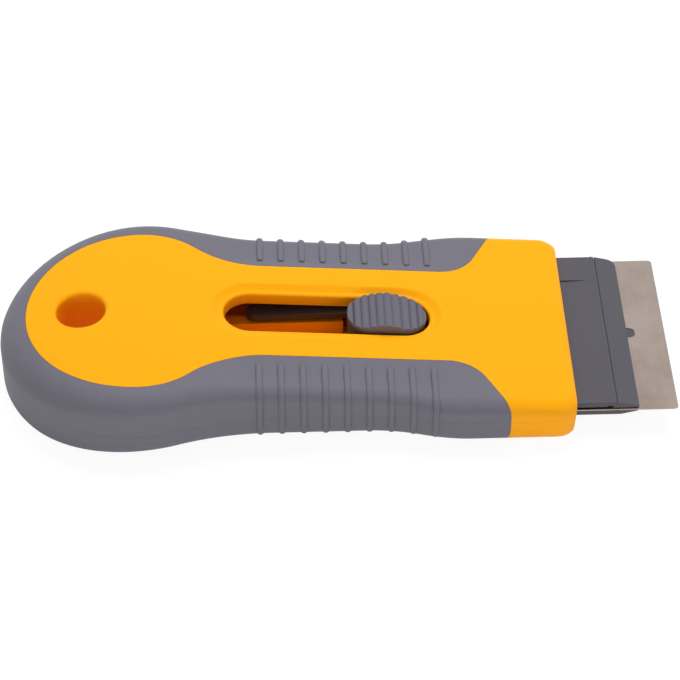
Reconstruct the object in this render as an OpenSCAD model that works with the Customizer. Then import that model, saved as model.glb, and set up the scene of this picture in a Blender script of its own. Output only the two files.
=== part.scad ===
// Ceramic hob scraper with a retractable blade.
// The origin is on the rest plane under the axis of the hanging hole.
// +X points to the blade, +Z points up through the thumb button, and the blade is out.

/* [Blade] */
// Width of the blade along its cutting edge
blade_w = 40; // [32:1:52]
// Depth of the blade from one cutting edge to the other
blade_d = 22; // [20:0.5:28]
// Thickness of the blade steel
blade_t = 0.3; // [0.2:0.05:0.5]
// Diameter of the two round holes on the blade's centre line
blade_hole_d = 2.6; // [2:0.1:3.4]
// Distance from each cutting edge to its hole
blade_hole_in = 6.7; // [5.5:0.1:7.5]
// Width of the ground strip along each cutting edge
grind_w = 0.9; // [0.4:0.1:1.6]
// How far the cutting edge stands out of the carrier
blade_out = 7; // [5:0.5:9]

/* [Handle] */
// Thickness of the side wall beside the blade, soft grip included
side_t = 3.6; // [3.4:0.1:5]
// How much narrower each side of the waist is than the front
waist_in = 2.2; // [0.8:0.1:2.6]
// How much wider the round head is than the front, over both sides
head_extra = 3; // [1:0.5:9]
// Distance from the hanging hole to the middle of the round head
head_x = 10.2; // [8:0.2:12]
// Distance from the hanging hole to the rear end of the thumb slot
slot_x0 = 25.7; // [25:0.5:31]
// Length of the nose between the thumb slot and the front face
nose_l = 24.9; // [24:0.5:34]
// Height of the crown, the highest line of the head
crown_h = 14.2; // [13.8:0.1:17]
// Distance from the hanging hole to the crown line
crown_x = 8.7; // [7:0.1:11]
// Radius of the domed top of the head, seen from the side
crown_r = 218; // [200:1:300]
// Distance from the hanging hole to where the dome runs into the straight slope
slope_x = 24.8; // [22:0.1:25]
// Height of the seam between the upper and lower halves
seam_z = 6; // [5.6:0.1:6.2]
// Radius of the rounded upper edge
top_edge_r = 3.2; // [2.4:0.1:3.6]
// Radius of the rounded lower edge
low_edge_r = 3; // [2:0.1:3.4]
// Radius of the front corners in plan
corner_r = 4; // [3.8:0.1:5]
// How much of the rounded front end the flat front face cuts off
nose_cut = 0.8; // [0.2:0.1:1]
// Thickness of the hard plastic walls
wall_t = 1.8; // [1.6:0.1:2]

/* [Hanging hole] */
// Diameter of the hanging hole
hang_d = 8.8; // [7:0.2:9.4]
// Radius of the rounded upper rim of the hanging hole
hang_rim_r = 1; // [0.6:0.1:1.2]
// Radius of the rounded lower rim of the hanging hole
hang_low_rim_r = 0.5; // [0.3:0.1:0.8]

/* [Soft grip] */
// Thickness of the soft grip
grip_t = 1.2; // [0.9:0.1:1.3]
// Gap between the soft grip and the hard body
skin_gap = 0.03; // [0.02:0.01:0.05]
// Radius of the hard round face on the head
face_r = 20.6; // [19:0.1:21]
// Half width of the hard face along the waist
face_w = 12; // [10.5:0.25:13]
// Radius of the blend between the round face and the waist face
face_blend_r = 14; // [10:1:18]
// Radius of the round lobe that ends the soft grip
lobe_r = 13.1; // [11:0.1:14]
// Number of grip ribs on each side
rib_n = 9; // [5:1:10]
// Spacing of the grip ribs
rib_pitch = 3.88; // [3:0.02:3.9]
// Width of a grip rib
rib_w = 1.1; // [0.7:0.1:1.6]
// Height of a grip rib over the grip
rib_h = 0.4; // [0.2:0.1:0.6]

/* [Thumb button] */
// Length of the thumb button
button_l = 14.4; // [13:0.2:17]
// Width of the thumb button
button_w = 9; // [8:0.2:9.4]
// Gap between the thumb button and the slot, on each side
button_gap = 0.35; // [0.3:0.05:0.5]
// Gap between the thumb button and the front end of the slot
front_gap = 0.6; // [0.5:0.1:1]
// Gap left behind the retracted thumb button
rear_gap = 0.4; // [0.35:0.05:0.8]
// Width of the bevel around the thumb slot
bevel_w = 2.2; // [1.4:0.1:2.6]
// Depth of the bevel around the thumb slot
bevel_h = 0.6; // [0.3:0.1:0.8]
// Depth of the collar around the thumb slot, from the top face
collar_h = 2.9; // [2.4:0.1:3]
// Number of ribs across the thumb button
button_rib_n = 12; // [8:1:14]
// Height of the hump of the thumb button over the top face
hump_h = 0.8; // [0.4:0.1:1.4]
// Length of the two spring arms behind the thumb button
arm_l = 18.3; // [14:0.1:18.5]

/* [Carrier] */
// How far the carrier stands out of the handle
lip_out = 11.4; // [9:0.2:13]
// How far the cutting edge goes into the handle
hide_l = 3.6; // [2:0.2:5]
// Height of the middle of the blade over the rest plane
blade_z = 5; // [4.9:0.05:5.1]
// Thickness of the carrier cover
cover_t = 1.15; // [0.9:0.05:1.2]
// Thickness of the carrier base
base_t = 0.85; // [0.7:0.05:0.9]
// Gap between the carrier and the handle
slide_gap = 0.3; // [0.3:0.05:0.4]

/* [Screws] */
// Diameter of the screw shanks
screw_d = 2.2; // [2:0.1:2.6]
// Diameter of the screw heads
screw_head_d = 3.8; // [3.4:0.1:4]
// Length of the screw shanks
screw_l = 7.2; // [6:0.1:7.4]

/* [Hidden] */
$fn = 96;
eps = 0.01;
fit = 0.05;
deep = 60;
crease_h = 0.3;

half_blade = blade_w / 2;
front_y = half_blade + side_t;
waist_y = front_y - waist_in;
head_r = front_y + head_extra / 2;

travel = lip_out + blade_out + hide_l;
slot_l = travel + button_l + front_gap + rear_gap;
slot_x1 = slot_x0 + slot_l;
slot_y = button_w / 2 + button_gap;
button_x1 = slot_x1 - front_gap;
button_x0 = button_x1 - button_l;
front_x = slot_x1 + nose_l;
lip_x = front_x + lip_out;
edge_x = lip_x + blade_out;
blade_x0 = edge_x - blade_d;

slope = (slope_x - crown_x) / crown_r;
slope_deg = atan(slope);
slope_z0 = crown_h - (slope_x - crown_x) * slope / 2;
hang_z = crown_h - pow(crown_x, 2) / (2 * crown_r);
hang_tilt = asin(crown_x / crown_r);

neck_x = head_x + head_r;
flare_x0 = front_x - 32;
flare_x1 = front_x - 21;
lobe_x = flare_x1 - 3.7;
lobe_y = face_w + lobe_r;
rib_x0 = slot_x0 + 6.4;

carrier_y = half_blade - 0.2;
carrier_pad_y = carrier_y - 3;
carrier_tab_y = 14;
carrier_x0 = blade_x0 - 2.6;
carrier_side_x = blade_x0 - 0.4;
blade_low_z = blade_z - blade_t / 2;
blade_top_z = blade_z + blade_t / 2;
plate_gap = 0.9;
base_z1 = blade_z - plate_gap / 2;
base_z0 = base_z1 - base_t;
cover_z0 = blade_z + plate_gap / 2;
cover_z1 = cover_z0 + cover_t;
groove_x = lip_x - 4.2;
notch_x = lip_x - 5.1;
nose_x = lip_x - 3.2;
peg_x = blade_x0 + blade_hole_in;
snap_x = blade_x0 - 1.5;
snap_y = 10;
snap_d = 1.6;

bay_y = half_blade + slide_gap;
bay_x0 = carrier_side_x - travel - 0.5;
bay_z0 = base_z0 - slide_gap;
bay_z1 = cover_z1 + slide_gap;

stem_y = 3.5;
stem_z1 = base_z0 + 1.8;
stem_x0 = button_x0 + 0.3;
root_y = 6;
root_l = 8;
window_x0 = button_x0 + 2;
window_l = 8.4;
window_y = 2.5;
leg_gap = 0.3;

arm_y0 = 3.9;
arm_y1 = 6.3;
arm_t = 1.3;
arm_x0 = button_x0 - arm_l;
arm_x1 = button_x0 + 0.2;
arm_z0 = 7.66;
arm_z1 = 8.4;
block_z0 = 7.35;
pad_t = 1.5;

seat_z = (grip_t + wall_t) / 2;
rail_z = arm_z0 - arm_t - slide_gap;
rail_x0 = hang_d / 2 + wall_t + 0.4;
rail_x1 = slot_x0 + 7;

boss_r = 2.6;
head_seat_z = 2;
screw_head_h = 1.3;
screw_spots = [
    [head_x + 1.8, face_r - 5.1],
    [button_x0 + 2, face_w - 2.5]
];

// Height of the straight top face
function top_z(x) = slope_z0 - (x - slope_x) * slope;

// Outlines in plan

module both_sides() {
    children();
    mirror([0, 1, 0]) children();
}

module stadium(x0, x1, half) {
    translate([x0 + half, 0]) circle(half);
    translate([x1 - half, 0]) circle(half);
    translate([x0 + half, -half]) square([x1 - x0 - 2 * half, 2 * half]);
}

// Outline of the handle, moved inwards by a distance
module handle_plan(inset) {
    translate([head_x, 0]) circle(head_r - inset);
    polygon([
        [head_x, inset - head_r], [neck_x, inset - waist_y], [flare_x0, inset - waist_y],
        [flare_x1, inset - front_y], [front_x - inset, inset - front_y],
        [front_x - inset, front_y - inset], [flare_x1, front_y - inset],
        [flare_x0, waist_y - inset], [neck_x, waist_y - inset], [head_x, head_r - inset]
    ]);
}

// Outline of the hard face that the soft grip leaves bare, moved inwards by a distance
module face_plan(inset) {
    reach = face_r + face_blend_r;
    blend_y = face_w + face_blend_r;
    blend_x = head_x + sqrt(pow(reach, 2) - pow(blend_y, 2));
    meet_y = blend_y * (face_r - inset) / reach;
    translate([head_x, 0]) circle(face_r - inset);
    difference() {
        translate([head_x, -meet_y]) square([blend_x - head_x, 2 * meet_y]);
        both_sides() translate([blend_x, blend_y]) circle(face_blend_r + inset);
    }
    translate([head_x, inset - face_w]) square([lobe_x - head_x, 2 * (face_w - inset)]);
    difference() {
        translate([lobe_x, -deep]) square([deep, 2 * deep]);
        both_sides() translate([lobe_x, lobe_y]) circle(lobe_r + inset);
    }
}

// Side view of the handle below its top face, moved down by a distance
module side_view(drop) {
    far_x = front_x + deep;
    intersection() {
        translate([crown_x, crown_h - drop - crown_r]) circle(crown_r, $fn = 720);
        translate([-deep, -1]) square([deep + slope_x, deep]);
    }
    polygon([
        [slope_x, -1], [far_x, -1], [far_x, top_z(far_x) - drop], [slope_x, slope_z0 - drop]
    ]);
}

// Cutting and limiting forms

module side_prism(drop) {
    translate([0, deep, 0]) rotate([90, 0, 0]) linear_extrude(2 * deep) side_view(drop);
}

module above(z) {
    translate([-deep, -deep, z]) cube([4 * deep, 2 * deep, deep]);
}

module below(z) {
    translate([-deep, -deep, z - deep]) cube([4 * deep, 2 * deep, deep]);
}

// Frame that follows the sloping top face, with its origin at the rear end of the thumb slot
module on_slope() {
    translate([slot_x0, 0, top_z(slot_x0)]) rotate([0, slope_deg, 0]) children();
}

// Everything below the sloping top face, moved down by a distance
module under_slope(drop) {
    on_slope() translate([-deep / 2, -deep, -deep - drop]) cube([2 * deep, 2 * deep, deep]);
}

// Everything straight above and below the hard face
module face_column(inset) {
    translate([0, 0, -1]) linear_extrude(crown_h + 2) face_plan(inset);
}

// Outer form

// Round post with rounded upper and lower edges, grown by a distance
module post(r, h, grow) {
    steps = 4;
    top_reach = top_edge_r + grow;
    low_reach = low_edge_r + grow;
    rotate_extrude() polygon(concat(
        [[0, -grow]],
        [for (i = [0:steps]) [
            r - low_edge_r + low_reach * sin(90 * i / steps),
            low_edge_r - low_reach * cos(90 * i / steps)
        ]],
        [for (i = [0:steps]) [
            r - top_edge_r + top_reach * cos(90 * i / steps),
            h - top_edge_r + top_reach * sin(90 * i / steps)
        ]],
        [[0, h + grow]]
    ));
}

module post_pair(x, half, grow) {
    both_sides() translate([x, half - corner_r, 0])
        post(corner_r, top_z(x) + crease_h, grow, $fn = 32);
}

// Outer form of the handle, grown by a distance
module handle_form(grow) {
    intersection() {
        side_prism(-grow);
        translate([-deep, -deep, -grow - 1]) cube([deep + front_x, 2 * deep, deep]);
        union() {
            hull() {
                translate([head_x, 0, 0]) post(head_r, crown_h + crease_h, grow, $fn = 72);
                post_pair(neck_x, waist_y, grow);
            }
            hull() {
                post_pair(neck_x, waist_y, grow);
                post_pair(flare_x0, waist_y, grow);
            }
            hull() {
                post_pair(flare_x0, waist_y, grow);
                post_pair(flare_x1, front_y, grow);
            }
            hull() {
                post_pair(flare_x1, front_y, grow);
                post_pair(front_x + nose_cut - corner_r, front_y, grow);
            }
        }
    }
}

// Hard body under the soft grip, grown by a distance
module hard_core(grow) {
    drop = grip_t - grow;
    intersection() {
        side_prism(drop);
        translate([0, 0, drop]) linear_extrude(crown_h) handle_plan(drop);
    }
}

// Both hard halves before they are hollowed
module hard_form() {
    intersection() {
        handle_form(0);
        union() {
            face_column(0);
            hard_core(0);
        }
    }
}

// Places that several pieces share

module hang_bore() {
    translate([0, 0, -1]) cylinder(h = crown_h + 2, d = hang_d);
}

// Ring that rounds the rim of the hanging hole in a face at zero height
module hang_rim(rim_r) {
    lap = rim_r / 40;
    round_r = hang_d / 2 + rim_r - lap;
    translate([0, 0, -lap]) rotate_extrude() difference() {
        translate([0, -1]) square([round_r, 1 + rim_r]);
        translate([round_r, rim_r]) circle(rim_r);
    }
}

module hang_tube() {
    cylinder(h = crown_h, d = hang_d + 2 * wall_t);
}

module at_screws() {
    for (spot = screw_spots) both_sides() translate([spot[0], spot[1], 0]) children();
}

module bosses() {
    at_screws() cylinder(h = crown_h, r = boss_r);
}

// Space for the blade carrier, open at the front
module carrier_bay() {
    high = bay_z1 - bay_z0;
    tab_y = carrier_tab_y + slide_gap;
    tab_x0 = carrier_x0 - travel - 0.5;
    translate([bay_x0, -bay_y, bay_z0]) cube([deep, 2 * bay_y, high]);
    translate([tab_x0, -tab_y, bay_z0]) cube([deep, 2 * tab_y, high]);
}

// Inside outline of the halves, closed behind the front wall
module hollow_plan() {
    intersection() {
        handle_plan(grip_t + wall_t - 0.4);
        translate([-deep, -deep]) square([deep + front_x - wall_t, 2 * deep]);
    }
}

// Pieces of the handle

module upper_hollow() {
    intersection() {
        translate([0, 0, seam_z - 1]) linear_extrude(crown_h) hollow_plan();
        union() {
            side_prism(grip_t + wall_t - 0.2);
            intersection() {
                side_prism(wall_t);
                face_column(wall_t);
            }
        }
    }
}

// Wall that stiffens the edge of the thumb slot
module slot_collar() {
    wide = 1.3;
    difference() {
        translate([0, 0, seam_z]) linear_extrude(crown_h) stadium(slot_x0 - wide, slot_x1 + wide, slot_y + wide);
        under_slope(collar_h);
    }
}

// Shallow sloping band around the thumb slot, cut from below its inner edge to above the face
module slot_bevel() {
    low_z = -1.2 * bevel_h;
    low_r = slot_y - 0.2 * bevel_w;
    high_z = 0.8 * bevel_h;
    high_r = slot_y + 1.8 * bevel_w;
    on_slope() {
        for (x = [slot_y, slot_l - slot_y]) translate([x, 0, low_z])
            cylinder(h = high_z - low_z, r1 = low_r, r2 = high_r);
        translate([slot_y, 0, 0]) rotate([90, 0, 90]) linear_extrude(slot_l - 2 * slot_y)
            polygon([[-high_r, high_z], [-low_r, low_z], [low_r, low_z], [high_r, high_z]]);
    }
}

module upper_shell() {
    color("#ffb728") difference() {
        union() {
            difference() {
                hard_form();
                below(seam_z);
                upper_hollow();
            }
            difference() {
                intersection() {
                    union() {
                        hang_tube();
                        bosses();
                        slot_collar();
                    }
                    side_prism(grip_t + 0.2);
                }
                below(seam_z);
            }
        }
        translate([0, 0, seam_z]) linear_extrude(crown_h) stadium(slot_x0, slot_x1, slot_y);
        slot_bevel();
        carrier_bay();
        hang_bore();
        translate([0, 0, hang_z]) rotate([0, -hang_tilt, 0]) mirror([0, 0, 1]) hang_rim(hang_rim_r);
        at_screws() cylinder(h = head_seat_z + screw_l + 0.4, d = screw_d + 2 * fit);
    }
}

module lower_hollow() {
    translate([0, 0, grip_t + wall_t - 0.4]) linear_extrude(crown_h) hollow_plan();
    translate([0, 0, wall_t]) linear_extrude(crown_h) intersection() {
        hollow_plan();
        face_plan(wall_t);
    }
}

// Rails that carry the two spring arms of the thumb slider
module arm_rails() {
    both_sides() translate([rail_x0, arm_y0 + 0.1, seat_z])
        cube([rail_x1 - rail_x0, arm_y1 - arm_y0 - 0.1, rail_z - seat_z]);
}

// Rails that carry the blade carrier
module bay_rails() {
    rail_w = 1.6;
    both_sides() for (y = [root_y + 1, bay_y - 5]) translate([bay_x0, y, seat_z])
        cube([front_x - wall_t - bay_x0, rail_w, bay_z0]);
}

module lower_shell() {
    color("#f0a522") difference() {
        union() {
            difference() {
                hard_form();
                above(seam_z);
                lower_hollow();
            }
            difference() {
                union() {
                    hang_tube();
                    bosses();
                }
                above(seam_z);
                below(seat_z);
            }
            arm_rails();
            bay_rails();
        }
        carrier_bay();
        hang_bore();
        hang_rim(hang_low_rim_r);
        at_screws() {
            translate([0, 0, -1]) cylinder(h = crown_h, d = screw_d + 0.3);
            translate([0, 0, -1]) cylinder(h = 1 + head_seat_z, d = screw_head_d + 0.4);
        }
    }
}

module rib_slabs() {
    for (i = [0:rib_n - 1]) both_sides()
        translate([rib_x0 + i * rib_pitch - rib_w / 2, face_w + 0.9, 0])
            cube([rib_w, head_r, crown_h + 1]);
}

// Soft grip around the head and along both sides, with its ribs
module soft_grip() {
    difference() {
        union() {
            handle_form(0);
            intersection() {
                handle_form(rib_h);
                rib_slabs();
            }
        }
        face_column(-skin_gap);
        hard_core(skin_gap);
    }
}

module upper_grip() {
    color("#73717b") difference() {
        soft_grip();
        below(seam_z);
    }
}

module lower_grip() {
    color("#6a6871") difference() {
        soft_grip();
        above(seam_z);
    }
}

module shell_screws() {
    cross_w = 0.6;
    cross_l = 2.4;
    color("#b8b8ba") at_screws() difference() {
        union() {
            translate([0, 0, head_seat_z - screw_head_h]) cylinder(h = screw_head_h, d = screw_head_d);
            translate([0, 0, head_seat_z - eps]) cylinder(h = screw_l + eps, d = screw_d);
        }
        for (turn = [0, 90]) rotate([0, 0, turn]) translate([-cross_l / 2, -cross_w / 2, 0])
            cube([cross_l, cross_w, head_seat_z - screw_head_h / 3]);
    }
}

// Blade and its carrier

module scraper_blade() {
    thin = 0.04;
    half_t = blade_t / 2;
    color("#aa9d94") difference() {
        translate([blade_x0, half_blade, blade_z]) rotate([90, 0, 0]) linear_extrude(blade_w)
            polygon([
                [0, -thin], [grind_w, -half_t], [blade_d - grind_w, -half_t], [blade_d, -thin],
                [blade_d, thin], [blade_d - grind_w, half_t], [grind_w, half_t], [0, thin]
            ]);
        for (x = [peg_x, edge_x - blade_hole_in]) translate([x, 0, 0])
            cylinder(h = 2 * blade_z, d = blade_hole_d);
    }
}

// Plan of both carrier plates, with the narrow tab behind the blade
module carrier_plan() {
    translate([carrier_side_x, -carrier_y]) square([lip_x - carrier_side_x, 2 * carrier_y]);
    translate([carrier_x0, -carrier_tab_y]) square([lip_x - carrier_x0, 2 * carrier_tab_y]);
}

// Bar with the given side outline, as wide as the carrier
module carrier_bar(half) {
    translate([0, half, 0]) rotate([90, 0, 0]) linear_extrude(2 * half) children();
}

module carrier_base() {
    lip_t = 0.35;
    color("#625f68") difference() {
        union() {
            // Lower plate, whose underside rises to the lip
            difference() {
                translate([0, 0, base_z0]) linear_extrude(base_t) carrier_plan();
                carrier_bar(half_blade) polygon([
                    [nose_x, base_z0 - 1], [nose_x, base_z0], [lip_x, blade_low_z - lip_t],
                    [lip_x + 1, blade_low_z - lip_t], [lip_x + 1, base_z0 - 1]
                ]);
            }
            // Pad under the blade
            translate([carrier_side_x, -carrier_pad_y, base_z1])
                cube([lip_x - lip_t - carrier_side_x, 2 * carrier_pad_y, blade_low_z - base_z1]);
            // Root and stem that run back to the thumb slider
            translate([carrier_x0 - root_l, -root_y, base_z0])
                cube([root_l, 2 * root_y, stem_z1 - base_z0]);
            translate([stem_x0, -stem_y, base_z0])
                cube([carrier_x0 - root_l - stem_x0, 2 * stem_y, stem_z1 - base_z0]);
        }
        // Window for the leg of the thumb slider
        translate([window_x0, -window_y, 0]) cube([window_l, 2 * window_y, crown_h]);
        // Sockets for the pegs of the cover
        translate([peg_x, 0, 0]) cylinder(h = crown_h, d = blade_hole_d - 0.2 + 2 * fit);
        both_sides() translate([snap_x, snap_y, 0]) cylinder(h = crown_h, d = snap_d + 2 * fit);
    }
}

module carrier_cover() {
    panel_h = 0.3;
    panel_y = 13.2;
    groove_w = 0.5;
    lip_t = 0.35;
    color("#66636c") {
        difference() {
            union() {
                translate([0, 0, cover_z0]) linear_extrude(cover_t) carrier_plan();
                // Front bar that closes down on the blade
                carrier_bar(carrier_y) polygon([
                    [notch_x, cover_z0], [notch_x, blade_top_z + fit], [lip_x, blade_top_z + fit],
                    [lip_x, cover_z0]
                ]);
            }
            // Slope down to the lip
            carrier_bar(half_blade) polygon([
                [groove_x + groove_w, cover_z1], [lip_x, blade_top_z + lip_t],
                [lip_x + 1, blade_top_z + lip_t], [lip_x + 1, cover_z1 + 1],
                [groove_x + groove_w, cover_z1 + 1]
            ]);
            // Groove across the cover
            carrier_bar(half_blade) polygon([
                [groove_x, cover_z1 + 1], [groove_x, cover_z1 - panel_h],
                [groove_x + groove_w, cover_z1 - panel_h], [groove_x + groove_w, cover_z1 + 1]
            ]);
            // Sunk panel, open to the rear
            translate([carrier_x0 - 1, -panel_y, cover_z1 - panel_h])
                cube([groove_x - carrier_x0, 2 * panel_y, 1]);
            // Round notch in each side
            both_sides() translate([notch_x, carrier_y, 0]) cylinder(h = crown_h, r = 0.45);
        }
        // Pad over the blade
        translate([carrier_side_x, -carrier_pad_y, blade_top_z])
            cube([notch_x - carrier_side_x, 2 * carrier_pad_y, cover_z0 - blade_top_z]);
        // Pegs that hold the blade and the base
        translate([peg_x, 0, base_z0 + fit])
            cylinder(h = cover_z0 - base_z0, d = blade_hole_d - 0.2);
        both_sides() translate([snap_x, snap_y, base_z0 + fit])
            cylinder(h = cover_z0 - base_z0, d = snap_d);
    }
}

// Thumb button

// Plan of the two spring arms, joined by a cross bar at the front
module arm_plan() {
    tip_r = 1.5;
    wide = arm_y1 - arm_y0;
    bar_x1 = button_x0 + 2.4;
    both_sides() {
        translate([arm_x0 + tip_r, arm_y0]) square([bar_x1 - arm_x0 - tip_r, wide]);
        translate([arm_x0, arm_y0 + tip_r]) square([tip_r, wide - 2 * tip_r]);
        for (y = [arm_y0 + tip_r, arm_y1 - tip_r]) translate([arm_x0 + tip_r, y]) circle(tip_r);
    }
    translate([arm_x1, -arm_y1]) square([bar_x1 - arm_x1, 2 * arm_y1]);
}

module thumb_slider() {
    color("#5c5962") {
        // Arms that rise from their tips to the cross bar
        intersection() {
            linear_extrude(crown_h) arm_plan();
            translate([0, deep, 0]) rotate([90, 0, 0]) linear_extrude(2 * deep) polygon([
                [arm_x0, arm_z0], [arm_x1, arm_z1], [button_x1, arm_z1],
                [button_x1, arm_z1 - arm_t], [arm_x1, arm_z1 - arm_t], [arm_x0, arm_z0 - arm_t]
            ]);
        }
        // Block that fills the slot
        intersection() {
            translate([0, 0, block_z0]) linear_extrude(crown_h)
                stadium(button_x0, button_x1, button_w / 2);
            under_slope(pad_t);
        }
        // Leg that drives the carrier
        translate([window_x0 + leg_gap, leg_gap - window_y, stem_z1 - 1])
            cube([window_l - 2 * leg_gap, 2 * (window_y - leg_gap), block_z0 - stem_z1 + 2]);
    }
}

// Side view of the soft pad, with its hump
module pad_view() {
    hump_x = button_x0 + 7.1;
    hump_r = 10;
    front_low = 0.25;
    intersection() {
        translate([hump_x, top_z(hump_x) + hump_h - hump_r]) circle(hump_r);
        translate([button_x0, 0]) square([button_l, 2 * crown_h]);
    }
    polygon([
        [button_x0, 0], [button_x1, 0], [button_x1, top_z(button_x1) - front_low],
        [hump_x, top_z(hump_x) - front_low], [hump_x, top_z(hump_x) + 0.1],
        [button_x0, top_z(button_x0) + 0.1]
    ]);
}

module thumb_pad() {
    color("#7d7b86") difference() {
        intersection() {
            translate([0, 0, block_z0]) linear_extrude(crown_h)
                stadium(button_x0, button_x1, button_w / 2);
            translate([0, deep, 0]) rotate([90, 0, 0]) linear_extrude(2 * deep) pad_view();
        }
        under_slope(pad_t);
        pad_grooves();
    }
}

// Grooves that leave the ribs of the pad standing
module pad_grooves() {
    pitch = button_l / button_rib_n;
    groove_r = 0.3;
    hump_x = button_x0 + 7.1;
    for (i = [1:button_rib_n - 1]) {
        x = button_x0 + i * pitch;
        rise = abs(x - hump_x) < 4 ? hump_h - pow(x - hump_x, 2) / 20 : x < hump_x ? 0.1 : -0.25;
        translate([x, deep / 2, top_z(x) + rise + groove_r / 3]) rotate([90, 0, 0])
            cylinder(h = deep, r = groove_r, $fn = 24);
    }
}

upper_shell();
lower_shell();
upper_grip();
lower_grip();
shell_screws();
carrier_base();
carrier_cover();
scraper_blade();
thumb_slider();
thumb_pad();
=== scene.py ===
"""Ceramic hob scraper: the looks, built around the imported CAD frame.

Lengths are in millimetres while a piece is being made, and each finished piece is scaled to metres.
The origin is on the rest plane under the hanging hole, +X points to the blade and +Z up.
"""

import math

import bmesh
import bpy
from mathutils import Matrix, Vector


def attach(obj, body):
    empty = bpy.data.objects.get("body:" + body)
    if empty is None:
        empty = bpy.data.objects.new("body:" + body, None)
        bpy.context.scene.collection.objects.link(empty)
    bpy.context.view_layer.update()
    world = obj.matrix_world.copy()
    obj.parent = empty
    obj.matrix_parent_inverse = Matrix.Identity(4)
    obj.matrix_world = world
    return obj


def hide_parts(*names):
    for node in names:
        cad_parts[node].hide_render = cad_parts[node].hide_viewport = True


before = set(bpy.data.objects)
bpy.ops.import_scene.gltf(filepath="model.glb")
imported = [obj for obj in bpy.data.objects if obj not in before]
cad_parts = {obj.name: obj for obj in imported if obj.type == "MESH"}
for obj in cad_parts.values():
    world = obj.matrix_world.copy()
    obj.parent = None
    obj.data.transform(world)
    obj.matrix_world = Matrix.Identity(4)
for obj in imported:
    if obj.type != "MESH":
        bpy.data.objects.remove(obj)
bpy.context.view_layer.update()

# ---------------------------------------------------------------- sizes, in millimetres

FINE_GAP = 0.012  # half of the hairline between two moulded halves
CROWN_Z = 14.2  # highest point of the top face
SEAM_Z = 6.0  # seam between the upper and the lower half

# Outline of the handle from above: head, neck, straight waist, flare and nose.
HEAD = (10.2, 0.0)
HEAD_R = 25.1
NECK = (35.0, 79.0)
NECK_R = 57.7
NECK_TURN = 17.43
NECK_X = HEAD[0] + HEAD_R * math.sin(math.radians(NECK_TURN))
WAIST_Y = 21.3
WAIST_END_X = 51.5
FLARE_R = 35.0
FLARE_TURN = 14.9
NOSE_Y = 23.65
NOSE_X = 88.8
NOSE_CORNER_R = 4.0
FRONT_X = 88.0  # where the leaning front face crosses FRONT_Z
FRONT_Z = 8.0
FRONT_LEAN = 0.0875
ROUNDING = 6.5  # widest rounding of the rims, which each rim edge takes a share of

# Outline of the bare hard face between the grips.
FACE_X = 10.6
FACE_R = 20.5
SHOULDER_R = 14.3
FACE_BLEND_R = 20.0
FACE_Y = 12.0
LOBE_X = 65.5
LOBE_R = 7.5
LOBE_TURN = 62.0
GRIP_T = 1.2

HOLE_R = 4.4
HOLE_RIM_R = 0.9

SLOT_X0 = 25.7
SLOT_X1 = 63.1
SLOT_Y = 4.85

BUTTON_X0 = 48.1
BUTTON_X1 = 62.5
BUTTON_Y = 4.5

BLADE_X0 = 84.4
BLADE_Z = 5.0
BLADE_Y = 20.0
BLADE_HOLE_IN = 6.7  # from each long edge to its hole
EDGE_X = 106.4

LIP_X = 99.4
CARRIER_Y = 19.8
REAR_X = BLADE_X0 - 2.6
COVER_Z0 = 5.45
COVER_Z1 = 6.6
BASE_Z0 = 3.7
BASE_Z1 = 4.55
GROOVE_X = 95.2
NOTCH_X = 94.3


def straight_z(x):
    """Height of the straight slope of the top face."""
    return 15.42 - 0.0738 * x


def top_z(x):
    """Height of the top face along the middle: a dome over the head, then the slope."""
    dome_x, dome_end_x, flatness = 8.7, 24.8, 436
    if x < dome_end_x:
        return CROWN_Z - (x - dome_x) ** 2 / flatness
    return straight_z(x)


# ---------------------------------------------------------------- tools of the workbench


def bench_clear():
    """Object mode, with nothing selected."""
    if bpy.context.object and bpy.context.object.mode != "OBJECT":
        bpy.ops.object.mode_set(mode="OBJECT")
    bpy.ops.object.select_all(action="DESELECT")


def take(obj):
    """Makes obj the one selected object."""
    bench_clear()
    obj.select_set(True)
    bpy.context.view_layer.objects.active = obj
    return obj


def edit(obj):
    """Opens obj in edit mode."""
    take(obj)
    bpy.ops.object.mode_set(mode="EDIT")
    return obj


def done(obj):
    """Back to object mode."""
    if obj.mode == "EDIT":
        bpy.ops.object.mode_set(mode="OBJECT")
    return obj


def pick(obj, kind, test):
    """Selects the faces, edges or vertices for which test says yes. Returns how many there are."""
    bpy.ops.mesh.select_mode(type=kind)
    bpy.ops.mesh.select_all(action="DESELECT")
    mesh = bmesh.from_edit_mesh(obj.data)
    found = 0
    for item in {"FACE": mesh.faces, "EDGE": mesh.edges, "VERT": mesh.verts}[kind]:
        if test(item):
            item.select_set(True)
            found += 1
    bmesh.update_edit_mesh(obj.data)
    return found


def face_out():
    """Turns all normals of the mesh in edit mode outwards."""
    bpy.ops.mesh.select_all(action="SELECT")
    bpy.ops.mesh.normals_make_consistent(inside=False)


# The drawing planes: each with its direction across and its direction up.
VIEWS = {
    "plan": (Vector((1, 0, 0)), Vector((0, 1, 0))),
    "side": (Vector((1, 0, 0)), Vector((0, 0, 1))),
    "front": (Vector((0, 1, 0)), Vector((0, 0, 1))),
}


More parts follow.
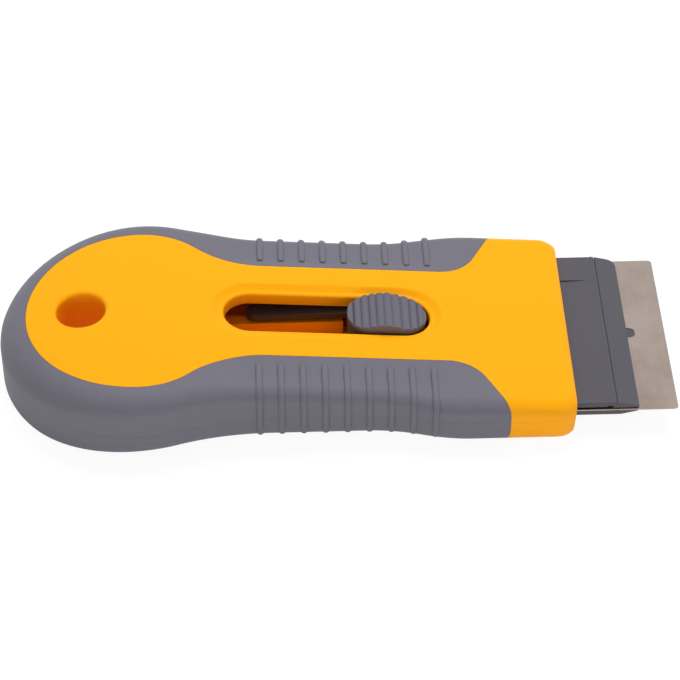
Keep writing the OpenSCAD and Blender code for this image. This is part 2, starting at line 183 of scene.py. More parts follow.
class Pen:
    """Draws an outline with one vertex, which is extruded along lines and spun along arcs."""

    def __init__(self, view, start, level=0.0):
        """level is how far the drawing plane lies from the origin."""
        self.across, self.up = VIEWS[view]
        self.normal = self.across.cross(self.up)
        self.level = level
        bench_clear()
        bpy.ops.mesh.primitive_plane_add(size=1, location=(0, 0, 0))
        self.obj = bpy.context.object
        bpy.ops.object.mode_set(mode="EDIT")
        bpy.ops.mesh.select_mode(type="VERT")
        bpy.ops.mesh.select_all(action="SELECT")
        bpy.ops.mesh.merge(type="CENTER")
        bpy.ops.transform.translate(value=self.place(start))
        self.at = tuple(start)

    def place(self, point):
        return self.across * point[0] + self.up * point[1] + self.normal * self.level

    def line(self, *points):
        for point in points:
            step = self.place(point) - self.place(self.at)
            bpy.ops.mesh.extrude_vertices_move(TRANSFORM_OT_translate={"value": step})
            self.at = tuple(point)
        return self

    def arc(self, centre, turn, steps):
        """Turns about centre by that many degrees, counter-clockwise if positive."""
        angle = math.radians(turn)
        bpy.ops.mesh.spin(steps=steps, angle=-angle, center=self.place(centre), axis=self.normal)
        u, v = self.at[0] - centre[0], self.at[1] - centre[1]
        self.at = (
            centre[0] + u * math.cos(angle) - v * math.sin(angle),
            centre[1] + u * math.sin(angle) + v * math.cos(angle),
        )
        return self

    def swell(self, point, bulge, steps):
        """Rounded bump to the next point, drawn from left to right."""
        a, b = Vector(self.at), Vector(point)
        half = (b - a).length / 2
        radius = (half * half + bulge * bulge) / (2 * bulge)
        side = Vector((b.y - a.y, a.x - b.x)).normalized()
        centre = (a + b) / 2 + side * (radius - bulge)
        return self.arc(centre, -2 * math.degrees(math.asin(half / radius)), steps)

    def mirrored(self):
        """Adds the other half of an outline whose +Y half is drawn."""
        bpy.ops.mesh.select_all(action="SELECT")
        bpy.ops.mesh.symmetrize(direction="POSITIVE_Y", threshold=1e-4)
        return self

    def rise(self, *step):
        """Fills the outline and extrudes it into a solid. Returns the object."""
        bpy.ops.mesh.select_all(action="SELECT")
        bpy.ops.mesh.remove_doubles(threshold=2e-3)
        bpy.ops.mesh.edge_face_add()
        bpy.ops.mesh.extrude_region_move(TRANSFORM_OT_translate={"value": step})
        face_out()
        return done(self.obj)

    def turn_round(self, steps):
        """Spins the outline once round the upright axis, and closes the seam and the poles."""
        bpy.ops.mesh.select_all(action="SELECT")
        bpy.ops.mesh.spin(steps=steps, angle=math.tau, center=(0, 0, 0), axis=(0, 0, 1))
        bpy.ops.mesh.select_all(action="SELECT")
        bpy.ops.mesh.remove_doubles(threshold=1e-3)
        face_out()
        return done(self.obj)


def block(x0, x1, y0, y1, z0, z1):
    """Rectangular solid."""
    pen = Pen("plan", (x0, y0), z0).line((x1, y0), (x1, y1), (x0, y1), (x0, y0))
    return pen.rise(0, 0, z1 - z0)


def disc(x, y, r, z0, z1, steps=48):
    """Round solid that stands upright."""
    return Pen("plan", (x + r, y), z0).arc((x, y), 360, steps).rise(0, 0, z1 - z0)


def rings(obj, test, steps):
    """Insets the chosen flat face once for each (inset, rise) pair in steps."""
    edit(obj)
    pick(obj, "FACE", test)
    for inset, rise in steps:
        bpy.ops.mesh.inset(
            thickness=abs(inset), depth=rise, use_even_offset=True, use_outset=inset < 0
        )
    return done(obj)


def slice_across(obj, where, normal, take_off=False):
    """Cuts obj with a plane at each point. take_off removes what lies beyond and closes the cut."""
    edit(obj)
    for point in where:
        bpy.ops.mesh.select_all(action="SELECT")
        bpy.ops.mesh.bisect(
            plane_co=point,
            plane_no=normal,
            use_fill=take_off,
            clear_outer=take_off,
            threshold=1e-5,
        )
    return done(obj)


def finish_with(obj, kind, **settings):
    """Adds a modifier and applies it."""
    take(obj)
    modifier = obj.modifiers.new("work", kind)
    for name, value in settings.items():
        setattr(modifier, name, value)
    bpy.ops.object.modifier_apply(modifier=modifier.name)
    return obj


def combine(obj, how, *tools, keep=False):
    """Boolean of obj with each tool. The tools go, unless keep is true."""
    for tool in tools:
        finish_with(obj, "BOOLEAN", operation=how, solver="MANIFOLD", object=tool)
        if not keep:
            bpy.data.objects.remove(tool)
    return obj


def cut(obj, *tools, keep=False):
    return combine(obj, "DIFFERENCE", *tools, keep=keep)


def join(obj, *tools, keep=False):
    return combine(obj, "UNION", *tools, keep=keep)


def meet(obj, *tools, keep=False):
    return combine(obj, "INTERSECT", *tools, keep=keep)


def copy_of(obj):
    """Copy of obj in the same place."""
    take(obj)
    bpy.ops.object.duplicate()
    return bpy.context.object


def flipped(obj):
    """Copy of obj on the other side of the middle plane."""
    twin = edit(copy_of(obj))
    bpy.ops.mesh.select_all(action="SELECT")
    bpy.ops.transform.resize(value=(1, -1, 1), center_override=(0, 0, 0))
    face_out()
    return done(twin)


def on_both_sides(tool):
    """The tool and its twin on the other side."""
    return [tool, flipped(tool)]


def shift(obj, x, y=0.0):
    """Moves the mesh level with the floor. The object's origin stays where it is."""
    edit(obj)
    bpy.ops.mesh.select_all(action="SELECT")
    bpy.ops.transform.translate(value=(x, y, 0))
    return done(obj)


def as_one(objects):
    """Joins objects that don't touch into the first of them."""
    take(objects[0])
    for one in objects:
        one.select_set(True)
    bpy.ops.object.join()
    return objects[0]


def round_edges(obj, test, width, segments):
    """Bevels the edges for which test says yes, if there are any."""
    edit(obj)
    if pick(obj, "EDGE", test):
        bpy.ops.mesh.bevel(offset=width, segments=segments, affect="EDGES", clamp_overlap=True)
    return done(obj)


def soften(obj, width, angle=40):
    """Rounds every sharp edge a little."""
    limit = math.radians(angle)
    return finish_with(
        obj, "BEVEL", width=width, segments=2, limit_method="ANGLE", angle_limit=limit
    )


def plate(points, half):
    """Side outline, as wide as twice half."""
    pen = Pen("side", points[0], -half).line(*points[1:], points[0])
    return pen.rise(0, -2 * half, 0)


def settle(obj, name, body, finish, smooth=32):
    """Names a finished piece, smooths it, brings it to metres and puts it on its body."""
    take(obj)
    obj.name = obj.data.name = name
    bpy.ops.object.shade_smooth_by_angle(angle=math.radians(smooth))
    finish_with(obj, "WEIGHTED_NORMAL", keep_sharp=True)
    bpy.ops.transform.resize(value=(0.001, 0.001, 0.001), center_override=(0, 0, 0))
    bpy.ops.object.transform_apply(location=True, rotation=True, scale=True)
    obj.data.materials.clear()
    obj.data.materials.append(finish)
    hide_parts(name)
    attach(obj, body)
    return obj


# ---------------------------------------------------------------- finishes


class Wire:
    """A node's output that can be used in sums: each sum adds its Math node."""

    def __init__(self, finish, socket):
        self.finish, self.socket = finish, socket

    def maths(self, how, first, second):
        return self.finish.node("ShaderNodeMath", {"operation": how}, {0: first, 1: second})

    def __add__(self, other):
        return self.maths("ADD", self, other)

    def __radd__(self, other):
        return self.maths("ADD", other, self)

    def __sub__(self, other):
        return self.maths("SUBTRACT", self, other)

    def __rsub__(self, other):
        return self.maths("SUBTRACT", other, self)

    def __rmul__(self, other):
        return self.maths("MULTIPLY", other, self)


class Finish:
    """A material's nodes. Each method adds what it is named after and returns its output."""

    def __init__(self, name, tree=None):
        """A new material, unless the node tree of a world is given."""
        if tree is None:
            self.material = bpy.data.materials.new(name)
            self.material.use_nodes = True
            tree = self.material.node_tree
        self.tree = tree
        tree.nodes.clear()

    def node(self, kind, settings=None, values=None, out=0):
        """A node with its settings. values holds a number or a wire for each input."""
        node = self.tree.nodes.new(kind)
        for name, value in (settings or {}).items():
            if name == "stops":
                for stop, (at, grey) in zip(node.color_ramp.elements, value):
                    stop.position, stop.color = at, (grey, grey, grey, 1)
            else:
                setattr(node, name, value)
        for key, value in (values or {}).items():
            if isinstance(value, Wire):
                self.tree.links.new(value.socket, node.inputs[key])
            else:
                node.inputs[key].default_value = value
        return Wire(self, node.outputs[out]) if node.outputs else node

    def place(self, stretch=(1, 1, 1)):
        """The point on the piece, in metres, stretched."""
        at = self.node("ShaderNodeTexCoord", out="Object")
        return self.node("ShaderNodeMapping", None, {"Vector": at, "Scale": stretch})

    def noise(self, scale, detail, rough, stretch=(1, 1, 1)):
        values = {"Scale": scale, "Detail": detail, "Roughness": rough}
        values["Vector"] = self.place(stretch)
        return self.node("ShaderNodeTexNoise", None, values, out="Fac")

    def spots(self, scale, size, soft):
        """Small round spots: 1 in the middle of a spot and 0 outside."""
        values = {"Vector": self.place(), "Scale": scale, "Randomness": 1.0}
        far = self.node("ShaderNodeTexVoronoi", {"feature": "F1"}, values, out="Distance")
        stops = [(size, 1.0), (size + soft, 0.0)]
        return self.node("ShaderNodeValToRGB", {"stops": stops}, {"Fac": far})

    def blend(self, amount, first, second):
        """Colour between the first (amount 0) and the second (amount 1)."""
        values = {"Factor": amount, 6: first, 7: second}
        return self.node("ShaderNodeMix", {"data_type": "RGBA"}, values, out=2)

    def bump(self, height, distance, strength=1.0, under=None):
        values = {"Height": height, "Distance": distance, "Strength": strength}
        if under is not None:
            values["Normal"] = under
        return self.node("ShaderNodeBump", None, values)

    def surface(self, **values):
        sockets = {key.replace("_", " "): value for key, value in values.items()}
        shader = self.node("ShaderNodeBsdfPrincipled", None, sockets)
        self.node("ShaderNodeOutputMaterial", None, {"Surface": shader})
        return self.material


def srgb(red, green, blue):
    """Linear colour of a screen colour given in 0 to 255."""
    tone = []
    for value in (red, green, blue):
        value /= 255
        tone.append(value / 12.92 if value <= 0.04045 else ((value + 0.055) / 1.055) ** 2.4)
    return (*tone, 1.0)


def moulded_plastic(name, colour, deeper, rough, gloss):
    """Hard plastic from a fine-grained mould: a slight flow of colour and tiny marks of use."""
    flow_depth, grain_depth = 0.00012, 0.00002
    finish = Finish(name)
    flow = finish.noise(38, 3, 0.55)
    fine = finish.noise(5200, 2, 0.6)
    marks = finish.noise(700, 4, 0.65, stretch=(1, 0.12, 1))
    base = finish.blend(0.7 * flow - 0.1, colour, deeper)
    dull = rough + 0.1 * (fine - 0.5) + 0.09 * (marks - 0.5)
    wave = finish.bump(flow, flow_depth, 0.5)
    skin = finish.bump(fine, grain_depth, 1.0, wave)
    return finish.surface(Base_Color=base, Roughness=dull, Normal=skin, Specular_IOR_Level=gloss)


def soft_rubber(name, colour, lighter, rough=0.62):
    """Matt soft-touch grip with a fine speckle, and dust in a few pits."""
    grain_depth, pit_depth = 0.00003, 0.00002
    finish = Finish(name)
    cloud = finish.noise(55, 3, 0.6)
    fine = finish.noise(3800, 3, 0.7)
    speck = finish.spots(900, 0.04, 0.05)
    base = finish.blend(0.5 * cloud + 0.5 * fine, colour, lighter)
    dark = tuple(0.45 * c for c in colour[:3]) + (1.0,)
    base = finish.blend(0.35 * speck, base, dark)
    dull = rough + 0.12 * (fine - 0.5) + 0.06 * (cloud - 0.5)
    skin = finish.bump(fine, grain_depth, 1.0)
    skin = finish.bump(1 - speck, pit_depth, 0.6, skin)
    return finish.surface(Base_Color=base, Roughness=dull, Normal=skin, IOR=1.45)


def rolled_steel(name, colour, stained, rough):
    """Thin rolled strip steel: fine lines along the strip and a little staining."""
    line_depth = 0.0000008
    finish = Finish(name)
    lines = finish.noise(900, 3, 0.6, stretch=(6, 0.12, 1))
    hair = finish.noise(4200, 2, 0.5, stretch=(3, 0.05, 1))
    stain = finish.noise(70, 4, 0.6)
    base = finish.blend(2.6 * stain - 0.9 + 0.5 * (lines - 0.5), colour, stained)
    dull = rough + 0.08 * (lines - 0.5) + 0.06 * (hair - 0.5) + 0.08 * (stain - 0.5)
    skin = finish.bump(hair + 0.6 * lines, line_depth, 1.0)
    return finish.surface(Base_Color=base, Metallic=1.0, Roughness=dull, Normal=skin)


YELLOW = moulded_plastic("yellow_plastic", srgb(255, 172, 10), srgb(255, 168, 8), 0.5, 0.2)
GRIP_GREY = soft_rubber("grey_grip", srgb(104, 102, 112), srgb(113, 111, 121))
CARRIER_GREY = moulded_plastic("grey_plastic", srgb(84, 82, 89), srgb(78, 76, 83), 0.45, 0.25)
# The slider is the carrier's grey plastic. Its darker, browner colour is painted shade and painted
# orange bounce light from inside the slot.
SLIDER_PAINTED_SHADE = moulded_plastic("slider_plastic_painted_shade", srgb(76, 64, 61), srgb(70, 58, 55), 0.5, 0.25)
PAD_GREY = soft_rubber("pad_rubber", srgb(95, 93, 103), srgb(104, 102, 112), 0.6)
BLADE_STEEL = rolled_steel("blade_steel", srgb(178, 164, 155), srgb(152, 136, 126), 0.36)
ZINC = rolled_steel("zinc_screw", srgb(200, 200, 204), srgb(168, 168, 172), 0.35)


# ---------------------------------------------------------------- outlines


def handle_outline(inset, level):
    """Outline of the handle from above, moved inwards."""
    nose_corner = NOSE_CORNER_R - min(inset, NOSE_CORNER_R - 0.5)
    corner_x = NOSE_X - inset - nose_corner
    corner_y = NOSE_Y - inset - nose_corner
    flare_end_x = WAIST_END_X + 2 * FLARE_R * math.sin(math.radians(FLARE_TURN))
    pen = Pen("plan", (HEAD[0] - HEAD_R + inset, 0), level)
    pen.arc(HEAD, -90 - NECK_TURN, 42)
    pen.arc(NECK, NECK_TURN, 10)
    pen.line((WAIST_END_X, pen.at[1]))
    pen.arc((WAIST_END_X, WAIST_Y + FLARE_R), FLARE_TURN, 7)
    pen.arc((flare_end_x, NOSE_Y - FLARE_R), -FLARE_TURN, 7)
    pen.line((corner_x, NOSE_Y - inset))
    pen.arc((corner_x, corner_y), -90, 10)
    pen.line((NOSE_X - inset, 0))
    return pen.mirrored()


def face_outline(inset=0.0):
    """Outline of the bare hard face from above, moved inwards. It runs out past the nose."""
    shoulder_y = FACE_R - SHOULDER_R
    blend_y = FACE_Y + FACE_BLEND_R
    turn = math.degrees(math.asin((blend_y - shoulder_y) / (SHOULDER_R + FACE_BLEND_R)))
    blend_x = FACE_X + (SHOULDER_R + FACE_BLEND_R) * math.cos(math.radians(turn))
    end_x, end_y = 110, 32.0
    pen = Pen("plan", (FACE_X - FACE_R + inset, 0), -1.0)
    pen.arc((FACE_X, 0), -90, 42)
    pen.arc((FACE_X, shoulder_y), turn - 90, 14)
    pen.arc((blend_x, blend_y), 90 - turn, 10)
    pen.line((LOBE_X, pen.at[1]))
    pen.arc((LOBE_X, FACE_Y + LOBE_R), LOBE_TURN, 16)
    run = (end_y - pen.at[1]) / math.tan(math.radians(LOBE_TURN))
    pen.line((pen.at[0] + run, end_y), (end_x, end_y), (end_x, 0))
    return pen.mirrored()


# ---------------------------------------------------------------- the handle's outer form


def eased(x, *stops):
    """Value at x between (x, value) stops, with a soft start and end of each stretch."""
    for (x0, v0), (x1, v1) in zip(stops, stops[1:]):
        if x <= x0:
            return v0
        if x < x1:
            t = (x - x0) / (x1 - x0)
            return v0 + (v1 - v0) * t * t * (3 - 2 * t)
    return stops[-1][1]


def round_the_head(x, y):
    """Degrees round the head from its rear end."""
    return math.degrees(math.atan2(abs(y), HEAD[0] - x))


def upper_rounding(x, y):
    """Rounding of the upper rim. It changes slowly, or its faces would fold."""
    if x < NECK_X:
        return eased(round_the_head(x, y), (30, 5.6), (NECK_TURN + 90, 2.8))
    along = ((NECK_X, 2.8), (NECK[0], 2.1), (WAIST_END_X, 2.1), (60.5, 2.3), (69.5, 2.6))
    return eased(x, *along)


def lower_rounding(x, y):
    """Rounding of the lower rim, just as slow."""
    if x < NECK_X:
        return eased(round_the_head(x, y), (38, 0.9), (NECK_TURN + 90, 5.0))
    along = ((NECK_X, 5.0), (NECK[0], 4.4), (WAIST_END_X, 4.4), (60.5, 4.1), (69.5, 3.8))
    return eased(x, *along)


def weigh_rims(obj, rims):
    """Gives each rim edge its share of the full rounding. rims holds (height, rounding) pairs."""
    marks = obj.data.attributes.new("bevel_weight_edge", "FLOAT", "EDGE")
    points = obj.data.vertices
    for edge, mark in zip(obj.data.edges, marks.data):
        a, b = (points[i].co for i in edge.vertices)
        for height, rounding in rims:
            if abs(a.z - height) < 1e-4 and abs(b.z - height) < 1e-4:
                mark.value = rounding((a.x + b.x) / 2, (a.y + b.y) / 2) / ROUNDING


def blank_form(inset):
    """Closed block with rounded rims and a flat top, with the creases that the cage bends."""
    low, high = inset, CROWN_Z - inset
    obj = handle_outline(inset, low).rise(0, 0, high - low)
    weigh_rims(obj, [(high, upper_rounding), (low, lower_rounding)])
    finish_with(
        obj,
        "BEVEL",
        width=ROUNDING - inset,
        segments=7,
        limit_method="WEIGHT",
        use_clamp_overlap=False,
    )
    slice_across(obj, [(x, 0, 0) for x in CREASES_X], (1, 0, 0))
    slice_across(obj, [(0, side * y, 0) for y in CREASES_Y for side in (1, -1)], (0, 1, 0))
    return obj


# ---------------------------------------------------------------- the cage that bends the top

# Start, end and number of points of the cage along each axis.
CAGE_X = (-18.0, 92.0, 56)
CAGE_Y = (-26.95, 26.95, 15)
CAGE_Z = (-3.0, 18.0, 4)

# Rows of the cage that need an edge of the block above or below them.
CREASES_X = [x * 2.0 for x in range(-7, 45)]
CREASES_Y = (11.55, 15.4, 19.25, 23.1)

RIDGE_Y = 15  # outside this the top of the waist is lower
RIDGE_DROP = 0.7
DOME_DROP = 0.36


def make_cage():
    """Lattice whose upper half follows the dome and the slope of the top face."""
    bench_clear()
    spans = (CAGE_X, CAGE_Y, CAGE_Z)
    centre = [(a + b) / 2 for a, b, n in spans]
    size = [b - a for a, b, n in spans]
    bpy.ops.object.add(type="LATTICE", location=centre)
    cage = bpy.context.object
    cage.scale = size
    data = cage.data
    data.points_u, data.points_v, data.points_w = (n for a, b, n in spans)
    for axis in ("u", "v", "w"):
        setattr(data, "interpolation_type_" + axis, "KEY_LINEAR")
    for i, point in enumerate(data.points):
        u, v, w = i % CAGE_X[2], i // CAGE_X[2] % CAGE_Y[2], i // (CAGE_X[2] * CAGE_Y[2])
        x = CAGE_X[0] + size[0] * u / (CAGE_X[2] - 1)
        y = CAGE_Y[0] + size[1] * v / (CAGE_Y[2] - 1)
        if w >= CAGE_Z[2] / 2:
            drop = top_z(x) - CROWN_Z
            off_head = math.hypot(min(x - HEAD[0], 0), y)
            drop -= DOME_DROP * eased(off_head, (15, 0), (22, 1)) * eased(x, (16, 1), (28, 0))
            if abs(y) > RIDGE_Y:
                drop -= RIDGE_DROP * eased(x, (19, 0), (31, 1), (62, 1), (72, 0))
            point.co_deform.z += drop / size[2]
    bpy.context.view_layer.update()
    return cage


def bend(obj, cage):
    """Bends obj with the cage."""
    return finish_with(obj, "LATTICE", object=cage)


# ---------------------------------------------------------------- tools that cut the handle


def hanging_hole_tool():
    """Round hole with a rounded upper and lower rim."""
    over, low_r, top_z0 = 80, 0.5, CROWN_Z - HOLE_RIM_R
    pen = Pen("side", (0, -1)).line((HOLE_R + low_r, -1), (HOLE_R + low_r, 0))
    pen.arc((HOLE_R + low_r, low_r), -over, 5)
    pen.line((HOLE_R, 0.6), (HOLE_R, top_z0))
    pen.arc((HOLE_R + HOLE_RIM_R, top_z0), -over, 8)
    pen.line((HOLE_R + HOLE_RIM_R + 0.6, CROWN_Z + 0.15), (0, CROWN_Z + 0.15))
    return pen.turn_round(96)


def slot_tool():
    """Thumb slot with the soft step that runs round it."""
    left, right, widest, steps = SLOT_X0 + SLOT_Y, SLOT_X1 - SLOT_Y, 7.5, 24
    pen = Pen("plan", (left, widest), CROWN_Z + 0.25)
    pen.arc((left, 0), 180, steps)
    pen.line((right, -widest))
    pen.arc((right, 0), 180, steps)
    obj = pen.line((left, widest)).rise(0, 0, -0.2)
    profile = [
        (7.3, 0.03), (7.12, -0.02), (6.95, -0.09), (6.78, -0.18), (6.6, -0.28), (6.3, -0.46),
        (6.0, -0.62), (5.86, -0.67), (5.72, -0.69), (5.55, -0.685), (5.38, -0.68), (5.22, -0.71),
        (5.09, -0.78), (4.98, -0.87), (4.9, -0.98), (SLOT_Y, -1.1), (SLOT_Y, -9.5),
    ]
    rises, at = [], (widest, 0.05)
    for half, level in profile:
        rises.append((at[0] - half, at[1] - level))
        at = (half, level)
    return rings(obj, lambda face: face.normal.z < -0.9, rises)


def faces_back(face):
    """The rear face of the rib's blank."""
    return face.normal.x < -0.9 and face.calc_center_median().x < -0.01


def grip_rib():
    """One rib of the grip: a bent half-round rod with ball ends, made at the waist on +Y."""
    proud, half_w, start_y = 0.42, 0.58, 13.8
    top_r, low_r, sweep = 2.1, 4.4, 27
    inner_y, inner_top_z = 17.6, CROWN_Z - 0.9
    top_y, low_y = WAIST_Y - top_r, WAIST_Y - low_r
    low = math.radians(sweep)
    end = (low_y + low_r * math.cos(low), low_r - low_r * math.sin(low))
    pen = Pen("front", (start_y, inner_top_z), -0.02).line((start_y, CROWN_Z))
    pen.arc((start_y + proud, CROWN_Z), -90, 5)
    pen.line((top_y, CROWN_Z + proud))
    pen.arc((top_y, CROWN_Z - top_r), -90, 8)
    pen.line((WAIST_Y + proud, low_r))
    pen.arc((low_y, low_r), -sweep, 4)
    pen.arc(end, -100, 5)
    pen.line((inner_y, low_r), (inner_y, CROWN_Z - 2.6), (start_y, inner_top_z))
    rib = pen.rise(0.04, 0, 0)
    rises, at = [], (0.0, 0.0)
    for turn in (20, 38, 54, 68, 80, 89):
        angle = math.radians(turn)
        now = (proud * (1 - math.cos(angle)), half_w * math.sin(angle))
        rises.append((now[0] - at[0], now[1] - at[1]))
        at = now
    rings(rib, lambda face: face.normal.x > 0.9, rises)
    return rings(rib, faces_back, rises)


RIB_X = [31.95 + 3.88 * i for i in range(9)]
FAR_RIB_SHIFT = 0.5


def half_width(x):
    """Half width of the handle between the neck and the nose."""
    if x < NECK[0]:
        return NECK[1] - math.sqrt(NECK_R**2 - (NECK[0] - x) ** 2)
    bend_l = FLARE_R * math.sin(math.radians(FLARE_TURN))
    if x < WAIST_END_X:
        return WAIST_Y
    if x < WAIST_END_X + bend_l:
        return WAIST_Y + FLARE_R - math.sqrt(FLARE_R**2 - (x - WAIST_END_X) ** 2)
    return NOSE_Y - FLARE_R + math.sqrt(FLARE_R**2 - (WAIST_END_X + 2 * bend_l - x) ** 2)


def all_ribs():
    """Nine ribs on each side, which follow the flare of the sides."""
    first = grip_rib()
    ribs = []
    for x in RIB_X:
        rib = edit(shift(copy_of(first), x))
        pick(rib, "VERT", lambda point: point.co.y > 16)
        bpy.ops.transform.translate(value=(0, half_width(x) - WAIST_Y, 0))
        done(rib)
        ribs += [flipped(rib), shift(rib, FAR_RIB_SHIFT)]
    bpy.data.objects.remove(first)
    return as_one(ribs)


# ---------------------------------------------------------------- the handle

SCREWS = [(x, y) for x, half in ((12.0, 15.5), (50.1, 9.5)) for y in (half, -half)]
BOSS_R = 2.6
BITE_R, CLEAR_R, HEAD_ROOM_R = 1.15, 1.25, 2.1  # the screws' holes: upper, lower, and for the head
HEAD_ROOM_Z = 2.0

WALL_T = 3.0
SKIN_T = 1.5  # no post or boss comes nearer to the outside
APART = (0.04, 0.05)  # how far the grips' inner faces lie off the shells', in depth and sideways
FLOOR_Z = 1.6
ARM_RAIL = (6.6, 47.5, 4.0, 6.3, FLOOR_Z, 5.9)
CARRIER_RAILS_Y = (7.0, 15.3)
CARRIER_RAIL_T = 1.6
CARRIER_RAIL_X1 = 86.2

BAY_Z = (3.4, 6.9)
BAY_X0 = 61.5
AROUND = (-20, 100, -30, 30)  # x and y of a tool that reaches past the handle
ABOVE_Z, BELOW_Z = 20, -5


def carrier_bay():
    """Room for the carrier, with a narrower part behind it for its tab."""
    end_x, bay_y, tab_x0, tab_y = 110, 20.3, 59.3, 14.3
    return [
        block(BAY_X0, end_x, -bay_y, bay_y, *BAY_Z),
        block(tab_x0, end_x, -tab_y, tab_y, *BAY_Z),
    ]


def inner_posts(z0, z1, skin):
    """Tube of the hanging hole and the four screw bosses, kept within the skin."""
    tube_t = 1.8
    posts = [disc(0, 0, HOLE_R + tube_t, z0, z1)]
    posts += [disc(x, y, BOSS_R, z0, z1, 32) for x, y in SCREWS]
    return [meet(post, skin, keep=True) for post in posts]


def upper_half(shell, skin, seam_low, hole, slot):
    """Upper shell, with blind holes that the screws bite into."""
    post_top_z, bite_z = 13.4, (5, 9.6)
    upper = cut(shell, seam_low, keep=True)
    join(upper, *inner_posts(SEAM_Z + FINE_GAP, post_top_z, skin))
    cut(upper, hole, slot, keep=True)
    cut(upper, *carrier_bay())
    cut(upper, *(disc(x, y, BITE_R, *bite_z, 24) for x, y in SCREWS))
    return upper


def lower_half(shell, skin, seam_high, hole):
    """Lower shell, with rails for the button's arms and the carrier, and pockets for the screws."""
    lower = cut(shell, seam_high, keep=True)
    posts = inner_posts(SKIN_T, SEAM_Z - FINE_GAP, skin)
    rails = on_both_sides(block(*ARM_RAIL))
    for y in CARRIER_RAILS_Y:
        rail = block(BAY_X0, CARRIER_RAIL_X1, y, y + CARRIER_RAIL_T, FLOOR_Z, BAY_Z[0])
        rails += on_both_sides(rail)
    join(lower, *posts, *rails)
    cut(lower, hole, keep=True)
    cut(lower, *carrier_bay())
    for x, y in SCREWS:
        cut(lower, disc(x, y, CLEAR_R, -1, 9, 24), disc(x, y, HEAD_ROOM_R, -1, HEAD_ROOM_Z, 32))
    return lower


def on_front_rim(edge):
    """Rim of the leaning front face."""
    return all(
        abs(v.co.x - FRONT_X - FRONT_LEAN * (v.co.z - FRONT_Z)) < 2e-3 for v in edge.verts
    )


def make_handle():
    """Both shells and both grips, cut from one form that the cage has bent."""
    front_r = 0.35
    cage = make_cage()
    hole, slot = hanging_hole_tool(), slot_tool()

    form = cut(blank_form(0.0), hole, slot, keep=True)
    bend(form, cage)
    slice_across(form, [(FRONT_X, 0, FRONT_Z)], (1, 0, -FRONT_LEAN), take_off=True)
    round_edges(form, on_front_rim, front_r, 3)
    bend(slot, cage)
    bend(hole, cage)

    core = bend(blank_form(GRIP_T), cage)
    grip_core = bend(blank_form(GRIP_T - APART[0]), cage)
    hollow = bend(blank_form(WALL_T), cage)
    skin = bend(blank_form(SKIN_T), cage)
    face = face_outline().rise(0, 0, ABOVE_Z)
    grip_face = face_outline(-APART[1]).rise(0, 0, ABOVE_Z)
    shell = cut(meet(copy_of(form), join(core, face)), hollow)

    seam_low = block(*AROUND, BELOW_Z, SEAM_Z + FINE_GAP)
    seam_high = block(*AROUND, SEAM_Z - FINE_GAP, ABOVE_Z)
    upper = upper_half(copy_of(shell), skin, seam_low, hole, slot)
    lower = lower_half(shell, skin, seam_high, hole)

    grip = join(form, bend(all_ribs(), cage))
    cut(grip, grip_face, grip_core)
    upper_grip = cut(copy_of(grip), seam_low)
    lower_grip = cut(grip, seam_high)
    for tool in (hole, slot, skin, cage):
        bpy.data.objects.remove(tool)

    settle(upper, "upper_shell", "handle", YELLOW)
    settle(lower, "lower_shell", "handle", YELLOW)
    settle(upper_grip, "upper_grip", "handle", GRIP_GREY)
    settle(lower_grip, "lower_grip", "handle", GRIP_GREY)


def make_screws():
    """Four pan-head screws in the underside, one modelled and copied."""
    head_z, head_r, seat_z, tip_z = 0.7, 1.9, 2.0, 9.2
    corner_r, shank_r, thread_t, pitch = 0.45, 1.1, 0.1, 0.6
    flat_r = head_r - corner_r
    pen = Pen("side", (0, head_z)).line((flat_r, head_z)).arc((flat_r, head_z + corner_r), 90, 5)
    pen.line((head_r, seat_z), (shank_r, seat_z))
    for i in range(9):
        z = seat_z + 1.2 + i * pitch
        pen.line((shank_r - thread_t, z), (shank_r, z + pitch / 2))
    pen.line((shank_r - 0.3, tip_z - 0.3), (0, tip_z))
    screw = pen.turn_round(40)
    long, wide, deep = 1.2, 0.25, head_z + 0.75
    cut(screw, block(-long, long, -wide, wide, 0, deep), block(-wide, wide, -long, long, 0, deep))
    copies = [shift(copy_of(screw), x, y) for x, y in SCREWS]
    bpy.data.objects.remove(screw)
    settle(as_one(copies), "shell_screws", "handle", ZINC)


# ---------------------------------------------------------------- the carrier and the blade

SHELF_Y = 16.8  # half width of the ledges that the blade lies between
PEG_X, PEG_Y = BLADE_X0 - 1.5, 10  # the two snap pegs behind the blade
PEG_R, PEG_SOCKET_R = 0.8, 0.85
REAR_PEG_R, REAR_SOCKET_R, FRONT_PEG_R = 1.2, 1.25, 1.27  # the pegs in the blade's holes
LEG_X = (BUTTON_X0 + 2.3, BUTTON_X0 + 10.1)  # leg of the button, which stands in the carrier's stem
LEG_Y = 2.2
LEG_ROOM = 0.3
REAR_HOLE_X = BLADE_X0 + BLADE_HOLE_IN
FRONT_HOLE_X = EDGE_X - BLADE_HOLE_IN


def on_upright(edge, x, y):
    """Upright edge at that place."""
    a, b = (v.co for v in edge.verts)
    at_place = all(abs(end.x - x) < 1e-3 and abs(end.y - y) < 1e-3 for end in (a, b))
    return at_place and abs(a.z - b.z) > 1e-3


def carrier_plate(points, z0, soft):
    """Plate of the carrier, with its rear corners cut off and its front corners rounded."""
    far_r, near_r, corner_x, inner_y, outer_y = 1.6, 0.5, (BLADE_X0 - 3, BLADE_X0 - 0.4), 14, 22
    obj = plate(points, CARRIER_Y)
    far_corner = block(*corner_x, inner_y, outer_y, z0, 8)
    cut(obj, far_corner, block(*corner_x, -outer_y, -inner_y, z0, 8))
    round_edges(obj, lambda edge: on_upright(edge, LIP_X, CARRIER_Y), far_r, 6)
    round_edges(obj, lambda edge: on_upright(edge, LIP_X, -CARRIER_Y), near_r, 3)
    return soften(obj, soft)


